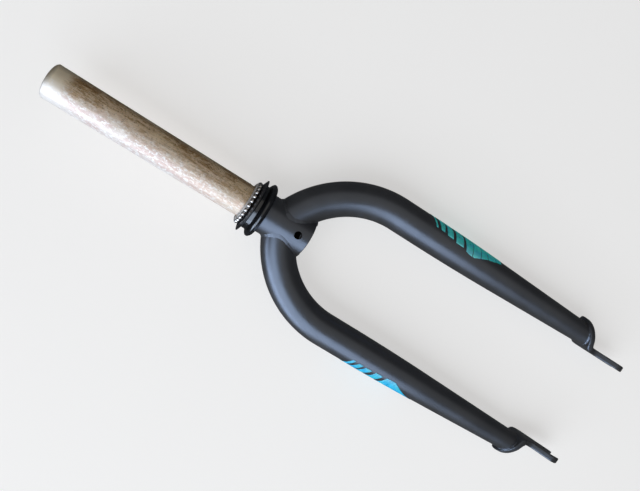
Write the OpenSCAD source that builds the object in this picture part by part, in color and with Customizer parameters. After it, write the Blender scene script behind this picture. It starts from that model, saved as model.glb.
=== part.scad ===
// Rigid bicycle fork with welded blades, lying on its back.
// Inside the modules +X runs from the top of the steerer to the dropouts,
// +Y is the rider's left and +Z is the front of the fork.
// place() then tips the fork onto the three points that it rests on.

/* [Steerer] */
// Outer diameter of the steerer tube
steerer_d = 28.6; // [28:0.1:29]
// Wall thickness of the steerer tube
steerer_wall = 1.6; // [1.4:0.1:2.2]
// Length of steerer above the shoulder that the crown race sits on
steerer_above = 188; // [150:1:260]
// Depth of the star nut's centre below the top of the steerer
nut_depth = 21; // [16:1:40]

/* [Crown] */
// Outer diameter of the crown sleeve
crown_d = 34.4; // [34:0.2:36]
// Length of the crown sleeve below the shoulder
crown_len = 41.8; // [40:0.2:46]
// Diameter of the seat for the crown race
seat_d = 30; // [29.8:0.1:30.2]
// Diameter of the hole for the brake or mudguard bolt
bolt_hole_d = 6.8; // [6:0.1:8]
// Distance of that hole's centre below the shoulder
bolt_hole_at = 31; // [29:0.5:33]

/* [Blades] */
// Outer diameter of a blade at the crown
blade_d = 30; // [29:0.2:31]
// Outer diameter of a blade where it meets its dropout
blade_tip_d = 20.2; // [19:0.2:22]
// Wall thickness of a blade
blade_wall = 1.8; // [1.4:0.1:2.4]
// Angle between a blade and the steerer where it leaves the crown
blade_exit = 66; // [64:1:68]
// Radius of the bend, to the middle of the tube
bend_r = 86; // [84:1:88]
// Outward splay of the straight part of a blade, in degrees
blade_splay = 0.5; // [0:0.1:1]
// Forward lean of a blade, in degrees
blade_lean = 3.57; // [3:0.1:5]
// Distance below the shoulder at which the taper starts
taper_at = 163; // [140:1:200]

/* [Dropouts] */
// Gap between the inner faces of the two dropouts
gap = 100; // [98:0.5:102]
// Thickness of the dropout plate
plate = 5.4; // [4.6:0.1:6]
// Distance from the shoulder to the middle of the dropout's flap
flap_at = 312.9; // [305:1:320]
// Width of the axle slot
slot_w = 10; // [9.4:0.1:11]
// Width of the dropout's tab
tab_w = 19.6; // [18:0.2:24]

/* [Headset] */
// Outer diameter of the race's flange and of the dust seal
race_d = 48.8; // [46:0.2:50]
// Diameter of a bearing ball
ball_d = 3.97; // [3.8:0.01:4]
// Number of bearing balls
balls = 26; // [20:1:26]

/* [Stripes] */
// Thickness of the stripe film
film = 0.15; // [0.1:0.05:0.3]

/* [Hidden] */
$fn = 96;

sh = steerer_above;            // station of the crown shoulder
sr = steerer_d / 2;
si = sr - steerer_wall;
cr = crown_d / 2;
br = blade_d / 2;
fit = 0.05;                    // radial gap between pieces pushed together
sd = sr - 0.2;                 // radius of the steerer's turned lower end
sd_x = sh - 21.5;              // station where it starts
pivot = sh + 25;               // station about which the blades lean

// Centre of the blade's bend, from the pivot, and the point where it ends
arc_c = [-6.5 + 4 * cos(blade_exit) + bend_r * sin(blade_exit),
         5.1 + 4 * sin(blade_exit) - bend_r * cos(blade_exit)];
arc1 = arc_c + bend_r * [-sin(blade_splay), cos(blade_splay)];
arc_more = 2.7;                // the bend starts inside the sleeve
step = 0.15;                   // a fine groove where the bend meets the straight part
taper_x = sh + taper_at - pivot;
end_x = sh + flap_at - 2.9 - pivot;
slope = (br - blade_tip_d / 2) / (end_x - taper_x);
run_x = end_x + 24;            // the blade runs on, and is cut off at the flap

// Flap: its outer face passes through (flap_x, flap_y), and its normal
// leans outward by flap_a in the X-Y plane
flap_a = 21.3;
flap_x = sh + flap_at;
flap_y = gap / 2 + 16.5;
flap_cy = gap / 2 + 7.75;      // the flap's front and outer edges are one arc
flap_cz = 12.7;
flap_r = 18.1;
corner_x = flap_x + tan(flap_a) * (flap_y - gap / 2) - plate / cos(flap_a);
inner_x = flap_x + tan(flap_a) * (flap_y - gap / 2 - plate);
tab_x = sh + 349.5;            // centre of the tab's round end
tab_z = 24.6;
slot_x = sh + 347.5;
slot_z = 24;
slot_lean = 0;                 // the slot opens straight down

// Bearing
ball_x = sh - 14.7;
ball_rc = 17.85;

// The fork rests on the race's flange and on the two dropouts' bends
rest_x = sh - 3.3;
rest_z = -race_d / 2;
foot_z = 4.53;                 // back edge of both dropouts
foot_x = flap_x + 12;
tilt = atan((foot_z - rest_z) / (foot_x - rest_x));
rise = rest_x * sin(tilt) - rest_z * cos(tilt);
mid_x = ((tab_x + tab_w / 2) * cos(tilt) + tab_z * sin(tilt) - sr * sin(tilt)) / 2;

module place() {
    translate([-mid_x, 0, rise]) rotate([0, tilt, 0]) children();
}
// Turned shape about the steerer's axis, from [radius, station] points
module turned(p) {
    rotate([0, 90, 0]) rotate_extrude() polygon(p);
}
module along(x0, x1, r) {
    translate([x0, 0, 0]) rotate([0, 90, 0]) cylinder(h = x1 - x0, r = r);
}
// Round bar along the blade's centre line, grown by g: a bend, and one
// turned piece for the straight part and the taper
module bar(g, back = 0, fwd = run_x) {
    r = br + g;
    l = taper_x - arc1[0];
    translate([pivot, 0, 0]) rotate([0, -blade_lean, 0]) {
        translate([arc_c[0], arc_c[1], 0]) rotate([0, 0, 90 + blade_splay])
            rotate_extrude(angle = blade_exit - blade_splay + arc_more + back)
                translate([bend_r, 0]) circle(r = br + g);
        translate([arc1[0], arc1[1], 0]) rotate([0, 0, blade_splay]) rotate([0, 90, 0])
            rotate_extrude() polygon([[0, 0], [r - step, 0], [r, 4], [r, l],
                [r - slope * (fwd - taper_x), fwd - arc1[0]], [0, fwd - arc1[0]]]);
    }
}
// Half-space beyond the flap's inner face moved by d along its normal
module beyond(d) {
    translate([flap_x, flap_y, 0]) rotate([0, 0, flap_a])
        translate([d - plate, -60, -60]) cube([90, 120, 150]);
}
module blade() {
    difference() {
        bar(0);
        bar(-blade_wall, back = 2, fwd = run_x + 1);
        along(sh - 5, sh + crown_len, cr);
        beyond(0);
    }
}
module crown_weld() {
    difference() {
        intersection() {
            bar(1.5, back = 4, fwd = taper_x + 1);
            along(sh + 2, sh + crown_len + 0.4, cr + 1.4);
        }
        bar(0, back = 0.5);
        along(sh - 5, sh + crown_len + 5, cr);
    }
}
module dropout_weld() {
    difference() {
        intersection() {
            bar(1.0);
            beyond(-2.4);
            translate([0, gap / 2 + 0.4, -60]) cube([900, 100, 150]);
        }
        bar(0);
        beyond(0);
    }
}
// The bent plate, seen along the front-to-back direction
function bend_curve(c, r, a0, a1, n) = [for (i = [0:n]) c + r * [cos(a0 + (a1 - a0) * i / n), sin(a0 + (a1 - a0) * i / n)]];
out_r = 1.5;                   // radius inside the bend
round_r = 6;                   // and outside it
far = 22;                      // the flap's reach past its middle line
bend_a = 90 - flap_a;
bend_c = [inner_x + out_r * tan((90 - flap_a) / 2), gap / 2 + plate + out_r];
module plate_profile() {
    polygon(concat(
        [[tab_x + 40, gap / 2]],
        bend_curve([corner_x + round_r * tan(bend_a / 2), gap / 2 + round_r], round_r, -90, -90 - bend_a, 9),
        [[flap_x - far * sin(flap_a) - plate * cos(flap_a), flap_y + far * cos(flap_a) - plate * sin(flap_a)],
         [flap_x - far * sin(flap_a), flap_y + far * cos(flap_a)]],
        bend_curve(bend_c, out_r, -90 - bend_a, -90, 6),
        [[tab_x + 40, gap / 2 + plate]]));
}
module dropout() {
    r = tab_w / 2 - 0.03;
    difference() {
        intersection() {
            translate([0, 0, -20]) linear_extrude(90) plate_profile();
            union() {
                // flap, bent back over the end of the blade
                intersection() {
                    translate([flap_x - 60, flap_cy, flap_cz]) rotate([0, 90, 0]) cylinder(h = 60 + inner_x - flap_x + 1, r = flap_r);
                    translate([flap_x - 60, gap / 2 - 3, foot_z]) cube([90, 60, 60]);
                    translate([flap_x - 61, flap_cy + 12, foot_z]) rotate([45, 0, 0]) translate([0, -60, 0]) cube([92, 120, 60]);
                }
                translate([flap_x - 10, gap / 2 - 3, foot_z]) cube([22, plate + 6, 16]);
                // tab, parallel to the wheel, with a narrow neck and a round end
                translate([tab_x, gap / 2 - 2, tab_z]) rotate([-90, 0, 0]) cylinder(h = plate + 4, r = tab_w / 2);
                translate([0, gap / 2 + plate + 1, 0]) rotate([90, 0, 0]) linear_extrude(plate + 2)
                    polygon([[inner_x - 2, foot_z + 0.1], [foot_x, foot_z + 0.1],
                             [tab_x + r * sin(25), tab_z - r * cos(25)],
                             [tab_x - r * sin(27), tab_z + r * cos(27)],
                             [sh + 331.5, 27.1], [sh + 328, 26], [sh + 325, 25.8], [sh + 322, 26.7], [inner_x, 29.4], [inner_x - 2, 29.8]]);
            }
        }
        // axle slot, open at the tab's end
        translate([slot_x, gap / 2 - 1, slot_z]) rotate([-90, 0, 0]) cylinder(h = plate + 2, d = slot_w);
        translate([slot_x, gap / 2 - 2, slot_z]) rotate([0, -slot_lean, 0])
            translate([0, 0, 0.01 - slot_w / 2]) cube([30, plate + 4, slot_w - 0.02]);
    }
}
// Film on the outer side of the blade from x0 to x1, as far as the angle a
// from the outermost line, cut to the outline p seen from the side
module film_patch(x0, x1, a, p) {
    function r_at(x) = br + 0.03 - max(0, x - taper_x) * slope;
    mids = x0 < taper_x && x1 > taper_x ? [taper_x] : [];
    xs = concat([x0], mids, [x1]);
    n = len(xs);
    intersection() {
        translate([pivot, 0, 0]) rotate([0, -blade_lean, 0])
            translate([arc1[0], arc1[1], 0]) rotate([0, 0, blade_splay])
                translate([-arc1[0], 0, 0]) rotate([0, 90, 0]) rotate([0, 0, 90 - a])
                    rotate_extrude(angle = 2 * a)
                        polygon(concat([for (x = xs) [r_at(x), x]],
                                       [for (i = [0:n - 1]) [r_at(xs[n - 1 - i]) + film, xs[n - 1 - i]]]));
        translate([pivot, 0, 0]) rotate([0, -blade_lean, 0]) rotate([90, 0, 0]) translate([0, 0, -120])
            linear_extrude(120) polygon(p);
    }
}
// A slanted bar of width w whose middle passes through x, 6 mm before the middle
module stripe(x, w, a) {
    k = 0.48;
    film_patch(x - w / 2 - 11, x + w / 2 + 5, a,
        [[x - w / 2 - 26 * k, -20], [x + w / 2 - 26 * k, -20], [x + w / 2 + 10 * k, 16], [x - w / 2 + 10 * k, 16]]);
}
module stripes() {
    stripe(100.7, 1.8, 58);
    stripe(107, 4.8, 59);
    stripe(114.5, 6.4, 64);
    stripe(125.1, 8, 70);
    film_patch(125.5, 178.2, 79, [[140.8, 16], [145.7, 15.4], [174.5, 8.1], [178, 3.5], [140, -14.9], [125.8, -15.2]]);
}

module steerer_tube() {
    color([0.62, 0.56, 0.47]) place() difference() {
        turned([[si, 0.5], [si + 0.5, 0], [sr - 0.8, 0], [sr, 0.8], [sr, sd_x], [sd, sd_x], [sd, sh + crown_len - 2.8], [si, sh + crown_len - 2.8]]);
        translate([sh + bolt_hole_at, 0, -30]) cylinder(h = 60, d = bolt_hole_d, $fn = 48);
    }
}
module crown_sleeve() {
    color([0.13, 0.13, 0.14]) place() difference() {
        turned([[sd + fit, sh - 12.4], [seat_d / 2 - 0.3, sh - 12.4], [seat_d / 2, sh - 12], [seat_d / 2, sh],
                [cr - 0.5, sh], [cr, sh + 0.5], [cr, sh + crown_len - 0.6], [cr - 0.6, sh + crown_len], [sd + fit, sh + crown_len]]);
        translate([sh + bolt_hole_at, 0, -30]) cylinder(h = 60, d = bolt_hole_d, $fn = 48);
    }
}
module crown_race() {
    ri = seat_d / 2 + fit;
    re = race_d / 2;
    color([0.09, 0.09, 0.1]) place() turned(concat(
        [[ri, sh - 14], [ball_rc - 1.95, sh - 14]],
        [for (a = [200:20:300]) [ball_rc + 2.05 * cos(a), ball_x - 2.05 * sin(a)]],
        [[19.6, sh - 12.7], [20, sh - 12.3], [20, sh - 7.6], [20.3, sh - 7], [re - 2.9, sh - 6.4],
         [re - 1.4, sh - 5.6], [re - 0.4, sh - 4.8], [re, sh - 4.1], [re, sh - 3.3], [re - 0.25, sh - 2.4],
         [re - 0.8, sh - 1.9], [re - 1.8, sh - 0.9], [re - 3, sh - 0.25], [re - 4, sh - 0.05], [ri, sh - 0.05]]));
}
// The dust seal and the caged balls sit a little crooked on the race
module dust_seal() {
    re = race_d / 2;
    color([0.06, 0.06, 0.06]) place() translate([sh - 11.55, 0, 0]) rotate([0, 0, -2.9]) translate([11.55 - sh, 0, 0]) turned(
        [[20.15, sh - 13.0], [21.4, sh - 12.8], [re - 0.2, sh - 11.8], [re, sh - 11.55], [re - 0.2, sh - 11.3],
         [21.6, sh - 10.5], [20.6, sh - 10.1], [20.15, sh - 10.0]]);
}
module cocked() {
    translate([ball_x, ball_rc, 0]) rotate([0, 0, -2.7]) translate([-ball_x, -ball_rc, 0]) children();
}
module ball_ring(r) {
    for (i = [0:balls - 1]) rotate([i * 360 / balls, 0, 0])
        translate([ball_x, 0, ball_rc]) sphere(r = r, $fn = 24);
}
module ball_retainer() {
    color([0.35, 0.34, 0.32]) place() cocked() difference() {
        turned([[15.2, sh - 17.6], [16.4, sh - 17.6], [17.3, sh - 17.3], [18, sh - 16.8], [18.1, sh - 16.4],
                [17.4, sh - 15.2], [15.6, sh - 15.2], [15.2, sh - 15.6]]);
        ball_ring(ball_d / 2 + 0.07);
    }
}
module bearing_balls() {
    color([0.8, 0.8, 0.82]) place() cocked() ball_ring(ball_d / 2);
}
module star_nut_barrel() {
    color([0.7, 0.7, 0.72]) place() difference() {
        along(nut_depth - 7, nut_depth + 7, 4.5);
        along(nut_depth - 8, nut_depth + 8, 2.5);
    }
}
module star_nut_springs() {
    color([0.6, 0.6, 0.62]) place() for (x = [nut_depth - 4, nut_depth + 3]) difference() {
        along(x, x + 1, si - 0.02);
        along(x - 1, x + 2, 4.52);
        for (i = [0:7]) rotate([i * 45 + 22.5, 0, 0]) {
            translate([x - 1, 0, 9.6]) rotate([0, 90, 0]) cylinder(h = 3, r = 1.8, $fn = 32);
            translate([x - 1, -1.8, 9.6]) cube([3, 3.6, 8]);
        }
    }
}
module left_blade() { color([0.13, 0.13, 0.14]) place() blade(); }
module right_blade() { color([0.13, 0.13, 0.14]) place() mirror([0, 1, 0]) blade(); }
module left_crown_weld() { color([0.16, 0.16, 0.17]) place() crown_weld(); }
module right_crown_weld() { color([0.16, 0.16, 0.17]) place() mirror([0, 1, 0]) crown_weld(); }
module left_dropout() { color([0.14, 0.14, 0.15]) place() dropout(); }
module right_dropout() { color([0.14, 0.14, 0.15]) place() mirror([0, 1, 0]) dropout(); }
module left_dropout_weld() { color([0.16, 0.16, 0.17]) place() dropout_weld(); }
module right_dropout_weld() { color([0.16, 0.16, 0.17]) place() mirror([0, 1, 0]) dropout_weld(); }
module left_stripes() { color([0.1, 0.6, 0.62]) place() stripes(); }
module right_stripes() { color([0.1, 0.6, 0.62]) place() mirror([0, 1, 0]) stripes(); }

steerer_tube();
crown_sleeve();
crown_race();
dust_seal();
ball_retainer();
bearing_balls();
star_nut_barrel();
star_nut_springs();
left_blade();
right_blade();
left_crown_weld();
right_crown_weld();
left_dropout();
right_dropout();
left_dropout_weld();
right_dropout_weld();
left_stripes();
right_stripes();
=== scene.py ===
# Looks of the bicycle fork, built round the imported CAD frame.
# Fork frame used below: s runs from the steerer's top to the dropouts,
# t to the rider's left, n to the front of the fork. Lengths in mm.
import math

import bmesh
import bpy
import numpy as np
from mathutils import Matrix, Vector


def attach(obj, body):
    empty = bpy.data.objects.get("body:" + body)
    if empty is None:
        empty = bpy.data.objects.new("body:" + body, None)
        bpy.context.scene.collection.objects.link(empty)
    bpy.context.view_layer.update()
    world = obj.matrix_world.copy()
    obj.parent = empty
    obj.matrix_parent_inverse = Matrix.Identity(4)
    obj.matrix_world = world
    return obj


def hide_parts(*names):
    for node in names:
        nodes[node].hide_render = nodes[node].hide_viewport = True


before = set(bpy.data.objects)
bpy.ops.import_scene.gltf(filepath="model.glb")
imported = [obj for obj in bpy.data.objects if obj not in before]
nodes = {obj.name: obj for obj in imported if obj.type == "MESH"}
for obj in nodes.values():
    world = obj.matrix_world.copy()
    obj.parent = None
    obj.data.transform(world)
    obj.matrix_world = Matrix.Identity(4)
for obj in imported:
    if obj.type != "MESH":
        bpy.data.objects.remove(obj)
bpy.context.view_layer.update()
scene = bpy.context.scene

# ---------------------------------------------------------------- placing
SH = 188.0
FOOT = (SH + 312.9 + 12, 4.53)
REST = (SH - 3.3, -24.4)
TILT = math.atan((FOOT[1] - REST[1]) / (FOOT[0] - REST[0]))
CT, ST = math.cos(TILT), math.sin(TILT)
RISE = REST[0] * ST - REST[1] * CT
MID = ((SH + 349.5 + 9.8) * CT + 24.6 * ST - 14.3 * ST) / 2


def turn(v):
    """Fork-frame directions (N,3) to the row frame."""
    v = np.atleast_2d(np.asarray(v, float))
    return np.stack([v[:, 0] * CT + v[:, 2] * ST, v[:, 1], -v[:, 0] * ST + v[:, 2] * CT], 1)


def put(v):
    """Fork-frame points in mm (N,3) to the row frame in metres."""
    return (turn(v) + np.array([-MID, 0, RISE])) / 1000.0


# ---------------------------------------------------------------- camera
A = math.radians(31.958)
s_, t_ = np.array([1.0, 0, 0]), np.array([0, 1.0, 0])
R0 = np.array([math.cos(A) * s_ + math.sin(A) * t_, math.sin(A) * s_ - math.cos(A) * t_, [0, 0, -1.0]])
rv = np.radians([-4.480274712960502, -14.477269923737069, 0.30567342942821707])
Rm = np.array(Matrix.Rotation(float(np.linalg.norm(rv)), 3, Vector(rv / np.linalg.norm(rv))))
ROT = R0 @ Rm.T
FOCAL = 544.6743090695429
right, down, ahead = turn(ROT)
cam_data = bpy.data.cameras.new("camera")
cam = bpy.data.objects.new("camera", cam_data)
scene.collection.objects.link(cam)
cam_data.sensor_fit = "HORIZONTAL"
cam_data.sensor_width = 36.0
cam_data.lens = FOCAL * 36.0 / 640.0
cam_data.clip_start, cam_data.clip_end = 0.01, 50.0
m = Matrix.Identity(4)
at = put([[126.9066226236452, 36.772333021637955, 450.27935700420437]])[0]
for i in range(3):
    m[i][0], m[i][1], m[i][2], m[i][3] = right[i], -down[i], -ahead[i], at[i]
cam.matrix_world = m
scene.camera = cam


# ---------------------------------------------------------------- materials
class Mat:
    """A node material with short helpers."""

    def __init__(self, name):
        self.m = bpy.data.materials.new(name)
        self.m.use_nodes = True
        self.t = self.m.node_tree
        self.b = self.t.nodes["Principled BSDF"]
        self.co = self.t.nodes.new("ShaderNodeTexCoord").outputs["Object"]

    def node(self, kind, **kw):
        n = self.t.nodes.new(kind)
        for k, v in kw.items():
            setattr(n, k, v)
        return n

    def link(self, a, b):
        self.t.links.new(a, b)

    def set(self, **kw):
        for k, v in kw.items():
            self.b.inputs[k.replace("_", " ")].default_value = v

    def local(self, scale=(1, 1, 1)):
        """Coordinates along the fork's own axes, in metres times scale."""
        r = self.node("ShaderNodeMapping", vector_type="POINT")
        r.inputs["Rotation"].default_value = (0, -TILT, 0)
        self.link(self.co, r.inputs["Vector"])
        k = self.node("ShaderNodeMapping", vector_type="POINT")
        k.inputs["Scale"].default_value = scale
        self.link(r.outputs["Vector"], k.inputs["Vector"])
        return k.outputs["Vector"]

    def noise(self, scale, detail=2.0, rough=0.5, vec=None, dist=0.0):
        n = self.node("ShaderNodeTexNoise")
        n.inputs["Scale"].default_value = scale
        n.inputs["Detail"].default_value = detail
        n.inputs["Roughness"].default_value = rough
        n.inputs["Distortion"].default_value = dist
        self.link(vec if vec is not None else self.co, n.inputs["Vector"])
        return n.outputs["Fac"]

    def ramp(self, fac, stops, interp="LINEAR"):
        n = self.node("ShaderNodeValToRGB")
        r = n.color_ramp
        r.interpolation = interp
        while len(r.elements) > 1:
            r.elements.remove(r.elements[-1])
        for i, (p, c) in enumerate(stops):
            e = r.elements[0] if i == 0 else r.elements.new(p)
            e.position = p
            e.color = (c, c, c, 1) if isinstance(c, (int, float)) else (*c, 1)
        self.link(fac, n.inputs["Fac"])
        return n.outputs["Color"]

    def mix(self, fac, a, b, kind="MIX"):
        n = self.node("ShaderNodeMix", data_type="RGBA", blend_type=kind)
        for sock, v in ((n.inputs[0], fac), (n.inputs[6], a), (n.inputs[7], b)):
            if isinstance(v, bpy.types.NodeSocket):
                self.link(v, sock)
            elif isinstance(v, (int, float)) and sock != n.inputs[0]:
                sock.default_value = (v, v, v, 1)
            elif isinstance(v, (int, float)):
                sock.default_value = v
            else:
                sock.default_value = (*v, 1)
        return n.outputs[2]

    def math(self, op, a, b=0.0, clamp=False):
        n = self.node("ShaderNodeMath", operation=op, use_clamp=clamp)
        for sock, v in ((n.inputs[0], a), (n.inputs[1], b)):
            if isinstance(v, bpy.types.NodeSocket):
                self.link(v, sock)
            else:
                sock.default_value = v
        return n.outputs[0]

    def bump(self, height, strength, dist, normal=None):
        n = self.node("ShaderNodeBump")
        n.inputs["Strength"].default_value = strength
        n.inputs["Distance"].default_value = dist
        self.link(height, n.inputs["Height"])
        if normal is not None:
            self.link(normal, n.inputs["Normal"])
        return n.outputs["Normal"]

    def to(self, name, sock):
        self.link(sock, self.b.inputs[name])


def paint(name, lump=0.0, base=(0.033, 0.031, 0.028), rough=(0.30, 0.38)):
    """Satin black paint: slight orange peel, faint handling marks and dust."""
    k = Mat(name)
    cloud = k.noise(38, 3, 0.55)
    fine = k.noise(1300, 2, 0.5)
    worn = k.noise(150, 5, 0.65)
    specks = k.noise(2600, 1, 0.5)
    light = tuple(1.35 * c for c in base)
    col = k.mix(k.ramp(cloud, [(0.35, 0.0), (0.65, 1.0)]), base, light)
    scuff = k.math("MULTIPLY", k.ramp(worn, [(0.60, 0.0), (0.75, 0.5)]), k.ramp(cloud, [(0.45, 0.0), (0.6, 1.0)]))
    col = k.mix(scuff, col, (0.052, 0.052, 0.054))
    dust = k.ramp(specks, [(0.72, 0.0), (0.78, 0.3)])
    k.to("Base Color", k.mix(dust, col, (0.10, 0.10, 0.10)))
    r = k.ramp(k.noise(90, 5, 0.6), [(0.3, rough[0]), (0.7, rough[1])])
    k.to("Roughness", k.math("ADD", r, k.math("MULTIPLY", scuff, 0.25)))
    n = k.bump(fine, 0.16, 0.00006)
    n = k.bump(cloud, 0.10, 0.0006, n)
    if lump:
        n = k.bump(k.noise(420, 3, 0.5), lump, 0.0006, n)
    k.to("Normal", n)
    k.set(IOR=2.3, Specular_IOR_Level=0.5, Specular_Tint=(0.60, 0.74, 1.0, 1))
    return k.m


def bare_steel():
    """Bare steel, browned in long fine streaks and specks, clean at its end; painted highlight and glints on the side
    towards the window lamp, painted shade on the far side, at the end's lip and in the bore.
    """
    k = Mat("bare_steel_stained_painted_light")
    ax = k.local((1, 1, 1))
    long = k.local((0.13, 1, 1))
    patch = k.noise(46, 5, 0.62, k.local((0.30, 1, 1)), 0.8)
    streak = k.noise(520, 6, 0.7, long, 0.4)
    hair = k.noise(1500, 4, 0.7, k.local((0.06, 1, 1)), 0.2)
    grit = k.noise(820, 5, 0.75, k.local((0.45, 1, 1)), 0.5)
    spots = k.noise(1150, 0, 0.4, k.local((0.55, 1, 1)))
    sep = k.node("ShaderNodeSeparateXYZ")
    k.link(ax, sep.inputs[0])
    end = put([[0, 0, 0]])[0]
    x_end = end[0] * CT - end[2] * ST
    n_0 = end[0] * ST + end[2] * CT
    along = k.math("SUBTRACT", sep.outputs["X"], x_end)
    dn = k.math("SUBTRACT", sep.outputs["Z"], n_0)
    rr = k.math("ADD", k.math("MULTIPLY", sep.outputs["Y"], sep.outputs["Y"]), k.math("MULTIPLY", dn, dn))
    inside = k.math("MAXIMUM", k.math("LESS_THAN", rr, 0.0132 ** 2), k.math("GREATER_THAN", along, SH / 1000 + 0.004))
    clean = k.ramp(k.math("ADD", along, k.math("MULTIPLY", k.math("SUBTRACT", patch, 0.5), 0.020)),
                   [(0.0, 0.0), (0.012, 0.10), (0.021, 1.0)])
    # browner on the side towards the rider's left, partly real staining and partly painted shade on the side away from
    # the window lamp; whiter on the other side, a painted highlight where the window lamp falls
    shift = k.math("ADD", sep.outputs["Y"], 0.0085)
    side = k.ramp(k.math("ADD", shift, k.math("MULTIPLY", k.math("SUBTRACT", patch, 0.5), 0.016)),
                  [(0.0, 0.12), (0.0080, 0.34), (0.0145, 0.78), (0.0195, 1.0)])
    lit_side_highlight = k.ramp(k.math("ADD", shift, k.math("MULTIPLY", k.math("SUBTRACT", patch, 0.5), 0.010)),
                   [(0.0040, 1.0), (0.0140, 0.0)])
    lit_side_highlight = k.math("MULTIPLY", lit_side_highlight, k.ramp(along, [(0.095, 1.0), (0.155, 0.66)]))
    # painted shade darkening the edge away from the window lamp
    far_side_shade = k.ramp(shift, [(0.0192, 0.0), (0.0228, 0.8)])
    # painted shade at the lip of the steerer's top end, stronger away from the window lamp
    end_lip_shade = k.math("MULTIPLY", k.ramp(along, [(0.0, 0.8), (0.0016, 0.0)]), k.ramp(shift, [(0.004, 0.25), (0.012, 1.0)]))
    net = k.noise(210, 4, 0.6, k.local((0.42, 1, 1)), 0.5)
    net = k.ramp(net, [(0.455, 0.0), (0.495, 1.0), (0.535, 0.0)])
    mask = k.math("ADD", k.math("MULTIPLY", patch, 0.52), k.math("MULTIPLY", streak, 0.28))
    mask = k.math("ADD", mask, k.math("MULTIPLY", grit, 0.20))
    mask = k.ramp(mask, [(0.445, 0.05), (0.482, 0.62), (0.51, 1.0)])
    mask = k.math("MULTIPLY", k.math("MULTIPLY", mask, clean), side)
    metal = k.mix(k.ramp(grit, [(0.3, 0.0), (0.7, 1.0)]), (0.76, 0.575, 0.35), (0.94, 0.765, 0.53))
    metal = k.mix(k.ramp(k.noise(90, 3, 0.6, k.local((0.3, 1, 1))), [(0.45, 0.0), (0.65, 0.35)]), metal, (0.70, 0.52, 0.45))
    # pale pinkish colour of the painted highlight on the window lamp side
    highlight_tone = k.mix(k.ramp(k.noise(120, 4, 0.6, k.local((0.4, 1, 1))), [(0.42, 0.0), (0.58, 1.0)]), (0.84, 0.79, 0.76), (0.77, 0.625, 0.595))
    metal = k.mix(lit_side_highlight, metal, highlight_tone)
    metal = k.mix(k.ramp(clean, [(0.0, 0.85), (1.0, 0.0)]), metal, k.mix(lit_side_highlight, (0.93, 0.85, 0.66), (0.95, 0.93, 0.90)))
    brown = k.mix(k.ramp(hair, [(0.35, 0.0), (0.62, 1.0)]), (0.145, 0.072, 0.024), (0.50, 0.315, 0.140))
    col = k.mix(mask, metal, brown)
    pale = k.math("MULTIPLY", k.ramp(hair, [(0.58, 0.0), (0.68, 0.75)]), k.ramp(streak, [(0.45, 0.0), (0.6, 1.0)]))
    col = k.mix(pale, col, (0.88, 0.76, 0.58))
    col = k.mix(k.math("MULTIPLY", net, 0.52), col, k.mix(lit_side_highlight, (0.92, 0.78, 0.58), (0.97, 0.94, 0.92)))
    # painted glints: bright near-white flecks only on the side lit by the window lamp
    lit_side_glints = k.math("MULTIPLY", k.ramp(k.noise(480, 4, 0.7, k.local((0.55, 1, 1)), 0.4), [(0.52, 0.0), (0.58, 0.9)]), lit_side_highlight)
    col = k.mix(lit_side_glints, col, (1.0, 0.99, 0.98))
    dark = k.math("MULTIPLY", k.math("MULTIPLY", k.ramp(spots, [(0.69, 0.0), (0.76, 0.75)]), clean), side)
    col = k.mix(dark, col, (0.07, 0.042, 0.020))
    # painted shade colour for the far edge and the end's lip
    col = k.mix(k.math("MAXIMUM", far_side_shade, end_lip_shade), col, (0.085, 0.070, 0.048))
    # painted shade: near black inside the bore, and along the length hidden in the sleeve
    col = k.mix(inside, col, (0.004, 0.0035, 0.003))
    k.to("Base Color", col)
    k.to("Metallic", k.math("MULTIPLY", k.ramp(mask, [(0.0, 0.22), (1.0, 0.04)]), k.math("SUBTRACT", 1.0, inside)))
    k.to("Roughness", k.math("ADD", k.ramp(mask, [(0.0, 0.36), (1.0, 0.55)]), k.math("MULTIPLY", inside, 0.4)))
    b1 = k.bump(grit, 0.45, 0.00007)
    b1 = k.bump(hair, 0.30, 0.00005, b1)
    k.to("Normal", k.bump(mask, 0.35, 0.0001, b1))
    k.set(Specular_IOR_Level=0.15)
    return k.m


def simple(name, c0, c1, metal, r0, r1, scale=300, bump=0.2, dist=0.00005, spec=0.5, ior=1.5):
    k = Mat(name)
    n = k.noise(scale, 4, 0.6)
    k.to("Base Color", k.mix(k.ramp(n, [(0.3, 0.0), (0.7, 1.0)]), c0, c1))
    k.to("Roughness", k.ramp(n, [(0.3, r0), (0.7, r1)]))
    k.to("Normal", k.bump(k.noise(scale * 4, 3, 0.6), bump, dist))
    k.set(Metallic=metal, Specular_IOR_Level=spec, IOR=ior)
    if metal == 0.0:
        k.set(Specular_Tint=(0.80, 0.88, 1.0, 1))
    return k.m


def film_print(name, c0, c1, other, tip):
    """Printed film: mottled ink, with a painted reflection of the window lamp towards the bars' front ends."""
    k = Mat(name)
    sep = k.node("ShaderNodeSeparateXYZ")
    k.link(k.local((1, 1, 1)), sep.inputs[0])
    o = put([[SH + 25, 0, 0]])[0]
    lean_a = math.radians(3.57)
    front = k.math("MULTIPLY", k.math("SUBTRACT", sep.outputs["Z"], o[0] * ST + o[2] * CT), math.cos(lean_a))
    rise_x = k.math("MULTIPLY", k.math("SUBTRACT", sep.outputs["X"], o[0] * CT - o[2] * ST), math.sin(lean_a))
    front = k.math("SUBTRACT", front, rise_x)
    n = k.noise(170, 3, 0.6)
    col = k.mix(k.ramp(n, [(0.35, 0.0), (0.65, 1.0)]), c0, c1)
    col = k.mix(k.ramp(k.noise(240, 2, 0.5, k.local((0.6, 1, 1))), [(0.50, 0.0), (0.64, 0.7)]), col, other)
    # painted reflection: the tip colour towards the bars' front ends
    col = k.mix(k.ramp(front, [(0.0112, 0.0), (0.0142, 0.6)]), col, tip)
    k.to("Base Color", col)
    k.to("Roughness", k.ramp(n, [(0.3, 0.26), (0.7, 0.36)]))
    k.to("Normal", k.bump(k.noise(700, 3, 0.6), 0.05, 0.00005))
    return k.m


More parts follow.
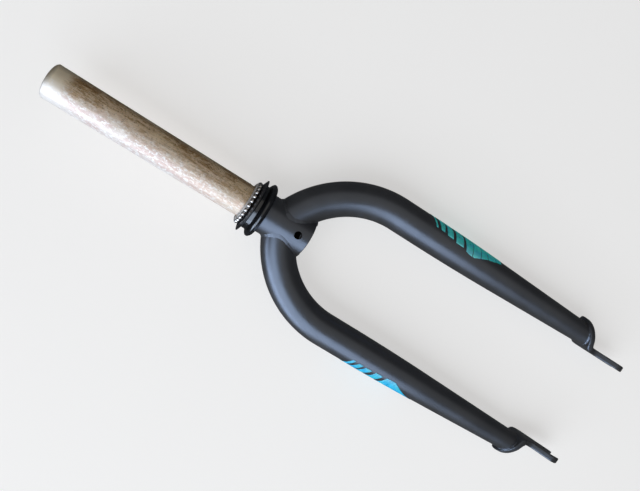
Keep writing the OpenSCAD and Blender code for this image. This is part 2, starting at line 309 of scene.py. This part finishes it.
PAINT = paint("satin_black")
WELD = paint("satin_black_over_weld", lump=0.30, rough=(0.34, 0.44))
STEEL = bare_steel()
RACE = simple("black_race", (0.004, 0.004, 0.0045), (0.009, 0.009, 0.010), 0.0, 0.16, 0.26, 200, spec=0.5, ior=2.1)
RUBBER = simple("seal_rubber", (0.005, 0.005, 0.0055), (0.012, 0.012, 0.013), 0.0, 0.24, 0.38, 400, ior=1.9)
CAGE = simple("cage_steel", (0.16, 0.155, 0.15), (0.80, 0.78, 0.76), 0.3, 0.28, 0.48, 620)
BALL = simple("ball_steel", (0.62, 0.62, 0.63), (0.86, 0.86, 0.87), 1.0, 0.10, 0.22, 500, 0.05)
ZINC = simple("zinc_plate", (0.45, 0.46, 0.48), (0.66, 0.67, 0.69), 1.0, 0.25, 0.42, 300)
# the last colour of each film is the painted reflection at the bars' front ends
TEAL = film_print("turquoise_film", (0.008, 0.60, 0.57), (0.020, 0.84, 0.80), (0.012, 0.48, 0.70), (0.40, 0.80, 0.88))
# the right film is the same turquoise film, painted lighter and bluer as if lit by the window lamp
TURQUOISE_PAINTED_LIT = film_print("turquoise_film_painted_lit", (0.006, 0.40, 0.72), (0.022, 0.56, 0.90), (0.030, 0.56, 0.62), (0.36, 0.74, 0.90))

USE = {
    "steerer_tube": STEEL, "crown_sleeve": PAINT, "crown_race": RACE, "dust_seal": RUBBER,
    "ball_retainer": CAGE, "bearing_balls": BALL, "star_nut_barrel": ZINC, "star_nut_springs": ZINC,
    "left_blade": PAINT, "right_blade": PAINT, "left_crown_weld": WELD, "right_crown_weld": WELD,
    "left_dropout": PAINT, "right_dropout": PAINT, "left_dropout_weld": WELD, "right_dropout_weld": WELD,
    "left_stripes": TEAL, "right_stripes": TURQUOISE_PAINTED_LIT,
}
for name, mat in USE.items():
    o = nodes[name]
    o.data.materials.clear()
    o.data.materials.append(mat)


# ---------------------------------------------------------------- pieces
def piece(name, verts, faces, mat, slot, *stands_for):
    """A mesh from fork-frame points in mm, riding on the fork."""
    me = bpy.data.meshes.new(name)
    me.from_pydata(put(verts).tolist(), [], faces)
    me.validate()
    bm = bmesh.new()
    bm.from_mesh(me)
    bmesh.ops.recalc_face_normals(bm, faces=bm.faces)
    bm.to_mesh(me)
    bm.free()
    me.polygons.foreach_set("use_smooth", [True] * len(me.polygons))
    o = bpy.data.objects.new(name, me)
    scene.collection.objects.link(o)
    me.materials.append(mat)
    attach(o, "root")
    if stands_for:
        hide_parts(*stands_for)
    return o


def rounded(p, r, n=4):
    """A closed outline with its corners rounded by up to r."""
    p = [np.array(v, float) for v in p]
    out = []
    for i, v in enumerate(p):
        a, b = p[i - 1], p[(i + 1) % len(p)]
        ra, rb = (min(r, 0.45 * np.linalg.norm(q - v)) for q in (a, b))
        va, vb = v + (a - v) / np.linalg.norm(a - v) * ra, v + (b - v) / np.linalg.norm(b - v) * rb
        for j in range(n + 1):
            u = j / n
            out.append((1 - u) ** 2 * va + 2 * u * (1 - u) * v + u * u * vb)
    return out


def tube_faces(rows, cols):
    """Faces of a closed grid, rows and columns both wrapping round."""
    return [(i * cols + j, i * cols + (j + 1) % cols, (i + 1) % rows * cols + (j + 1) % cols, (i + 1) % rows * cols + j)
            for i in range(rows) for j in range(cols)]


def lathe(profile, n=224, crooked=None):
    """Closed turned ring about the steerer's axis, from (radius, station)."""
    v = []
    for i in range(n):
        a = 2 * math.pi * i / n
        v += [(x, r * math.sin(a), r * math.cos(a)) for r, x in profile]
    v = np.array(v)
    if crooked:
        (cs, ct), deg = crooked
        c, d = math.cos(math.radians(deg)), math.sin(math.radians(deg))
        x, y = v[:, 0] - cs, v[:, 1] - ct
        v[:, 0], v[:, 1] = cs + x * c - y * d, ct + x * d + y * c
    return v, tube_faces(n, len(profile))


race = [(15.05, -14), (15.92, -14), (16.35, -13.38), (16.9, -12.95), (17.5, -12.7), (18.2, -12.7), (18.88, -12.92), (19.6, -12.7),
        (20, -12.3), (20, -7.6), (20.3, -7), (21.5, -6.4), (23, -5.6), (24, -4.8), (24.4, -4.1), (24.4, -3.3), (24.15, -2.4),
        (23.6, -1.9), (22.6, -0.9), (21.4, -0.25), (20.4, -0.05), (15.05, -0.05)]
v, f = lathe(rounded([(r, SH + x) for r, x in race], 0.5, 3))
piece("race", v, f, RACE, "black_race", "crown_race")
seal = [(20.15, -13), (21.4, -12.8), (24.2, -11.8), (24.4, -11.55), (24.2, -11.3), (21.6, -10.5), (20.6, -10.1), (20.15, -10)]
v, f = lathe(rounded([(r, SH + x) for r, x in seal], 0.35, 3), crooked=((SH - 11.55, 0.0), -2.9))
piece("seal", v, f, RUBBER, "seal_rubber", "dust_seal")

# The blade's own frame: the bend's middle, and where the straight part starts
PIVOT, EXIT, BEND_R, SPLAY, LEAN, BR = SH + 25, 66.0, 86.0, 0.5, 3.57, 15.0
rad = math.radians
ARC_C = np.array([-6.5 + 4 * math.cos(rad(EXIT)) + BEND_R * math.sin(rad(EXIT)),
                  5.1 + 4 * math.sin(rad(EXIT)) - BEND_R * math.cos(rad(EXIT))])
ARC1 = ARC_C + BEND_R * np.array([-math.sin(rad(SPLAY)), math.cos(rad(SPLAY))])
TAPER_X, END_X = 138.0, 285.0
SLOPE = (BR - 10.1) / (END_X - TAPER_X)


def lean(v):
    v = np.atleast_2d(np.asarray(v, float))
    c, d = math.cos(rad(LEAN)), math.sin(rad(LEAN))
    return np.stack([v[:, 0] * c - v[:, 2] * d, v[:, 1], v[:, 0] * d + v[:, 2] * c], 1)


def taper(x):
    """How much thinner the blade is at x, easing into its taper."""
    d, w = np.asarray(x, float) - TAPER_X, 40.0
    return SLOPE * np.where(d > w, d, np.where(d < -w, 0.0, (d + w) ** 2 / (4 * w)))


def on_blade(x, th, lift, side):
    """Points on the straight part: th is measured from the front line outward."""
    x, th = np.asarray(x, float), np.radians(np.asarray(th, float))
    r = BR - taper(x) + lift
    c, d = math.cos(rad(SPLAY)), math.sin(rad(SPLAY))
    a, b = x - ARC1[0], r * np.sin(th)
    v = np.stack([ARC1[0] + a * c - b * d, ARC1[1] + a * d + b * c, r * np.cos(th)], 1)
    v = lean(v) + np.array([PIVOT, 0, 0])
    v[:, 1] *= side
    return v


def film(rows, side, m=10, thick=0.15):
    """A thin patch from (th, x_low, x_high) rows, closed all round."""
    v, n = [], len(rows)
    for lift in (0.03, 0.03 + thick):
        for th, a, b in rows:
            v.append(on_blade(np.linspace(a, b, m + 1), np.full(m + 1, th), lift, side))
    v = np.concatenate(v)
    k = m + 1
    f = []
    for i in range(n - 1):
        for j in range(m):
            q = (i * k + j, i * k + j + 1, (i + 1) * k + j + 1, (i + 1) * k + j)
            f.append(q)
            f.append(tuple(n * k + t for t in reversed(q)))
    edge = [j for j in range(k)] + [i * k + m for i in range(1, n)] + [(n - 1) * k + j for j in range(m - 1, -1, -1)] + [i * k for i in range(n - 2, 0, -1)]
    for a, b in zip(edge, edge[1:] + edge[:1]):
        f.append((a, b, n * k + b, n * k + a))
    return v, f


def joined(parts):
    v, f, n = [], [], 0
    for pv, pf in parts:
        v.append(pv)
        f += [tuple(i + n for i in q) for q in pf]
        n += len(pv)
    return np.concatenate(v), f


def lerp(p, th):
    p = sorted(p)
    return float(np.interp(th, [q[0] for q in p], [q[1] for q in p]))


def bar_rows(low, high, front, back):
    """low and high are edges as (th, x) lists; past 67 degrees the slant goes on."""
    rows = []
    for th in np.linspace(front, back, 40):
        t = min(th, 67.0)
        extra = 0.48 * 15 * (math.cos(rad(th)) - math.cos(rad(67))) if th > 67 else 0.0
        a, b = lerp(low, t) + extra, lerp(high, t) + extra
        if b - a > 0.05:
            rows.append((th, a, b))
    return rows


def trimmed(low, high, tips):
    """Front end of a bar: (th, x) at both corners gives a slanted end."""
    (ta, xa), (tb, xb) = tips
    first = min(ta, tb)
    low2 = [p for p in low if p[0] > ta] + [(ta, xa)]
    high2 = [p for p in high if p[0] > tb] + [(tb, xb)]
    if ta > tb:
        low2.append((tb, xb))
    elif tb > ta:
        high2.append((ta, xa))
    return low2, high2, first


def stripes(bars, block, lines, side):
    parts = []
    for (l0, l1, h0, h1), back in bars:
        low, high, first = trimmed([(l1[1], l1[0])], [(h1[1], h1[0])], ((l0[1], l0[0]), (h0[1], h0[0])))
        rows = bar_rows([(l1[1], l1[0]), *low], [(h1[1], h1[0]), *high], first, back)
        parts.append(film(rows, side))
    low, high, tip, back = block
    th0 = min(min(q[1] for q in low), min(q[1] for q in high))
    rows = []
    for th in np.linspace(th0 + 0.05, 168, 90):
        if th <= 66:
            a, b = lerp([(q[1], q[0]) for q in low], th), lerp([(q[1], q[0]) for q in high], th)
        else:
            a = lerp([(q[1], q[0]) for q in low], 66) + 0.48 * 15 * (math.cos(rad(th)) - math.cos(rad(66)))
            b = lerp([(66, lerp([(q[1], q[0]) for q in high], 66)), (tip[1], tip[0]), (back[1], back[0])], th)
        rows.append((float(th), a, b))
    cuts = [None, *lines, None]
    for i in range(len(cuts) - 1):
        sub = []
        for th, a, b in rows:
            if cuts[i] is not None:
                a = max(a, lerp([(q[1], q[0]) for q in cuts[i]], min(th, 66)) + (0.48 * 15 * (math.cos(rad(th)) - math.cos(rad(66))) if th > 66 else 0) + 0.3)
            if cuts[i + 1] is not None:
                b = min(b, lerp([(q[1], q[0]) for q in cuts[i + 1]], min(th, 66)) + (0.48 * 15 * (math.cos(rad(th)) - math.cos(rad(66))) if th > 66 else 0) - 0.3)
            if b - a > 0.15:
                sub.append((th, a, b))
        if len(sub) > 2:
            parts.append(film(sub, side))
    return joined(parts)


left_bars = [
    (((103.8, 31.8), (99.2, 69.5), (105.3, 33.7), (101.1, 70.2)), 122),
    (((109.2, 31.2), (105.3, 66.0), (112.7, 30.7), (111.2, 67.4)), 124),
    (((116.1, 26.8), (112.7, 67.8), (122.4, 25.7), (119.2, 69.4)), 128),
    (((125.8, 21.3), (122.8, 64.4), (133.9, 19.4), (130.8, 66.0)), 134)]
left_block = ([(133.3, 63.9), (137.5, 16.2), (142.0, 12.6), (145.7, 10.8)],
              [(145.7, 10.8), (152.6, 22.3), (159.9, 35.3), (168.4, 46.6), (174.5, 56.2), (174.1, 66.0)], (175.5, 80), (137.5, 168))
left_lines = [[(141.8, 65.1), (144.8, 11.8)], [(150.7, 65.2), (152.7, 25.3)], [(157.6, 63.6), (159.9, 35.6)], [(166.2, 63.4), (168.4, 46.6)]]
v, f = stripes(left_bars, left_block, left_lines, 1)
piece("left_film", v, f, TEAL, "turquoise_film", "left_stripes")
right_bars = [
    (((107.3, 22.6), (102.3, 68.0), (110.1, 23.6), (106.3, 60.4)), 122),
    (((113.8, 24.3), (108.7, 67.0), (118.3, 23.4), (114.3, 67.6)), 124),
    (((121.1, 23.8), (116.3, 68.5), (127.6, 24.3), (122.5, 65.5)), 128),
    (((131.2, 22.7), (127.4, 67.5), (138.5, 20.6), (134.9, 67.3)), 134)]
right_block = ([(138.7, 67.4), (142.3, 20.4), (151.8, 19.1)],
               [(151.8, 19.1), (158.5, 34.4), (168.7, 59.6), (171.5, 66.0)], (177.5, 80), (141.5, 168))
v, f = stripes(right_bars, right_block, [], -1)
piece("right_film", v, f, TURQUOISE_PAINTED_LIT, "turquoise_film", "right_stripes")


def bead(pts, nrm, across, up, pitch, seed, k=14):
    """A closed weld bead along a loop, heaped in overlapping ripples."""
    rng = np.random.default_rng(seed)
    n = len(pts)
    tan = np.roll(pts, -1, 0) - np.roll(pts, 1, 0)
    seg = np.linalg.norm(np.roll(pts, -1, 0) - pts, axis=1)
    tan /= np.linalg.norm(tan, axis=1)[:, None]
    nrm = nrm - (nrm * tan).sum(1)[:, None] * tan
    nrm /= np.linalg.norm(nrm, axis=1)[:, None]
    bi = np.cross(tan, nrm)
    at = np.concatenate([[0], np.cumsum(seg)[:-1]])
    count = max(8, int(round(seg.sum() / pitch)))
    ph = at / seg.sum() * count
    wob = 0.18 * np.sin(2 * np.pi * at / seg.sum() * 3 + rng.uniform(0, 6)) + 0.12 * np.sin(2 * np.pi * at / seg.sum() * 7 + rng.uniform(0, 6))
    size = rng.uniform(0.82, 1.18, count)[np.floor(ph).astype(int) % count]
    v = []
    for j in range(k):
        a = 2 * math.pi * j / k
        # the crests bend backwards at both sides of the bead
        q = (ph + 0.35 * abs(math.cos(a))) % 1.0
        ripple = (1 - q) ** 0.6 * 0.18 + 0.88
        w = across * (1 + 0.10 * (ripple - 1) + 0.3 * wob)
        h = up * ripple * size * (1 + wob)
        v.append(pts + bi * (w * math.cos(a))[:, None] + nrm * (h * math.sin(a))[:, None])
    v = np.stack(v, 1).reshape(-1, 3)
    return v, tube_faces(n, k)


def crown_loop(side, n=420):
    pts, nrm = [], []
    for i in range(n):
        ph = 2 * math.pi * i / n
        rho, z = BEND_R + BR * math.cos(ph), BR * math.sin(ph)

        def at(al):
            return lean([[ARC_C[0] - rho * math.sin(al), ARC_C[1] + rho * math.cos(al), z]])[0] + np.array([PIVOT, 0, 0])
        lo, hi = rad(EXIT + 6), rad(5)
        for _ in range(40):
            mid = (lo + hi) / 2
            q = at(mid)
            if q[1] > 0 and math.hypot(q[1], q[2]) > 17.2:
                hi = mid
            else:
                lo = mid
        al = (lo + hi) / 2
        q = at(al)
        n1 = lean([[-math.cos(ph) * math.sin(al), math.cos(ph) * math.cos(al), math.sin(ph)]])[0]
        n2 = np.array([0, q[1], q[2]]) / math.hypot(q[1], q[2])
        pts.append(q)
        nrm.append(n1 + n2)
    pts, nrm = np.array(pts), np.array(nrm)
    pts[:, 1] *= side
    nrm[:, 1] *= side
    return pts, nrm


FLAP_A, PLATE, GAP = 21.3, 5.4, 100.0
FLAP = np.array([SH + 312.9, GAP / 2 + 16.5, 0])


def flap_loop(side, n=320):
    nf = np.array([math.cos(rad(FLAP_A)), math.sin(rad(FLAP_A)), 0])
    pts, nrm = [], []
    for i in range(n):
        th = 360 * i / n
        lo, hi = 250.0, 320.0
        for _ in range(40):
            mid = (lo + hi) / 2
            q = on_blade([mid], [th], 0, 1)[0]
            if (q - FLAP) @ nf > -PLATE:
                hi = mid
            else:
                lo = mid
        q = on_blade([lo], [th], 0, 1)[0]
        out = on_blade([lo], [th], 1, 1)[0] - q
        pts.append(q)
        nrm.append(out / np.linalg.norm(out) - nf)
    pts, nrm = np.array(pts), np.array(nrm)
    pts[:, 1] *= side
    nrm[:, 1] *= side
    return pts, nrm


def blade_tube(side, cols=96, bend=110, run=170):
    """The whole blade as one smooth tube, from inside the sleeve into the dropout's plate."""
    nf = np.array([math.cos(rad(FLAP_A)), math.sin(rad(FLAP_A)), 0])
    rows = []
    start, stop = [], []
    for j in range(cols):
        ph = 2 * math.pi * j / cols
        rho, z = BEND_R + BR * math.cos(ph), BR * math.sin(ph)
        lo, hi = rad(EXIT + 12), rad(5)
        for _ in range(40):
            mid = (lo + hi) / 2
            q = lean([[ARC_C[0] - rho * math.sin(mid), ARC_C[1] + rho * math.cos(mid), z]])[0]
            if q[1] > 0 and math.hypot(q[1], q[2]) > 15.9:
                hi = mid
            else:
                lo = mid
        start.append((lo + hi) / 2)
        lo, hi = 250.0, 320.0
        for _ in range(40):
            mid = (lo + hi) / 2
            if (on_blade([mid], [90 - math.degrees(ph)], 0, 1)[0] - FLAP) @ nf > 1.5 - PLATE:
                hi = mid
            else:
                lo = mid
        stop.append(lo)
    ph = 2 * np.pi * np.arange(cols) / cols
    start, stop = np.array(start), np.array(stop)
    for i in range(bend):
        al = start + (rad(SPLAY) - start) * i / bend
        rho, z = BEND_R + BR * np.cos(ph), BR * np.sin(ph)
        q = lean(np.stack([ARC_C[0] - rho * np.sin(al), ARC_C[1] + rho * np.cos(al), z], 1)) + np.array([PIVOT, 0, 0])
        q[:, 1] *= side
        rows.append(q)
    for i in range(run + 1):
        rows.append(on_blade(ARC1[0] + (stop - ARC1[0]) * i / run, 90 - np.degrees(ph), 0, side))
    v = np.concatenate([*rows, [rows[0].mean(0)], [rows[-1].mean(0)]])
    n = len(rows)
    f = [(i * cols + j, i * cols + (j + 1) % cols, (i + 1) * cols + (j + 1) % cols, (i + 1) * cols + j)
         for i in range(n - 1) for j in range(cols)]
    f += [(n * cols, (j + 1) % cols, j) for j in range(cols)]
    f += [(n * cols + 1, (n - 1) * cols + j, (n - 1) * cols + (j + 1) % cols) for j in range(cols)]
    return v, f


for side, who in ((1, "left"), (-1, "right")):
    v, f = blade_tube(side)
    piece(who + "_blade_tube", v, f, PAINT, "black_paint", who + "_blade")
    p, n = crown_loop(side)
    v, f = bead(p, n, 3.6, 0.6, 4.5, 11 + side)
    piece(who + "_crown_bead", v, f, WELD, "weld_paint", who + "_crown_weld")
    p, n = flap_loop(side)
    v, f = bead(p, n, 1.3, 0.8, 2.8, 21 + side)
    piece(who + "_dropout_bead", v, f, WELD, "weld_paint", who + "_dropout_weld")
    # soft pressed edges on the bent plates
    o = nodes[who + "_dropout"]
    m = o.modifiers.new("even", "REMESH")
    m.mode, m.voxel_size, m.use_smooth_shade = "VOXEL", 0.0005, True
    m = o.modifiers.new("soften", "SMOOTH")
    m.factor, m.iterations = 0.5, 14

# ---------------------------------------------------------------- stage
def plane(name, cx, cy, w, h, z):
    me = bpy.data.meshes.new(name)
    me.from_pydata([(cx - w, cy - h, z), (cx + w, cy - h, z), (cx + w, cy + h, z), (cx - w, cy + h, z)], [], [(0, 1, 2, 3)])
    o = bpy.data.objects.new(name, me)
    scene.collection.objects.link(o)
    return o


floor = plane("floor", 0, 0, 6, 6, -0.0002)
k = Mat("pale_floor")
n = k.noise(3, 3, 0.5)
k.to("Base Color", k.mix(n, (0.43, 0.415, 0.395), (0.45, 0.435, 0.415)))
k.set(Roughness=0.8, Specular_IOR_Level=0.1, Emission_Color=(1, 1, 1, 1), Emission_Strength=0.55)
floor.data.materials.append(k.m)
floor.visible_glossy = False


def area(name, where, aim, sx, sy, power, color):
    d = bpy.data.lights.new(name, "AREA")
    d.shape = "RECTANGLE"
    d.size, d.size_y = sx, sy
    d.energy = power
    d.color = color
    o = bpy.data.objects.new(name, d)
    scene.collection.objects.link(o)
    o.location = where
    o.rotation_mode = "QUATERNION"
    o.rotation_quaternion = (Vector(aim) - Vector(where)).to_track_quat("-Z", "Y")
    return o


area("window", (-0.15, -1.85, 1.85), (-0.03, 0.0, 0.03), 3.4, 2.6, 68, (0.84, 0.91, 1.0))
area("low_window", (-1.05, -2.30, 0.55), (0.0, 0.0, 0.03), 3.0, 0.95, 32, (0.80, 0.88, 1.0))
area("ceiling", (0.0, 0.95, 2.7), (0.0, 0.0, 0.03), 5.0, 3.2, 14, (1.0, 0.86, 0.70))
world = bpy.data.worlds.new("world")
scene.world = world
world.use_nodes = True
world.node_tree.nodes["Background"].inputs["Color"].default_value = (0.93, 0.96, 1.0, 1)
world.node_tree.nodes["Background"].inputs["Strength"].default_value = 0.05
# the empty room is as pale as the floor where it is seen straight on
wt = world.node_tree
pale_bg = wt.nodes.new("ShaderNodeBackground")
pale_bg.inputs["Color"].default_value = (0.90, 0.90, 0.895, 1)
pick, rays = wt.nodes.new("ShaderNodeMixShader"), wt.nodes.new("ShaderNodeLightPath")
wt.links.new(rays.outputs["Is Camera Ray"], pick.inputs["Fac"])
wt.links.new(wt.nodes["Background"].outputs["Background"], pick.inputs[1])
wt.links.new(pale_bg.outputs["Background"], pick.inputs[2])
wt.links.new(pick.outputs["Shader"], wt.nodes["World Output"].inputs["Surface"])
scene.view_settings.view_transform = "Standard"
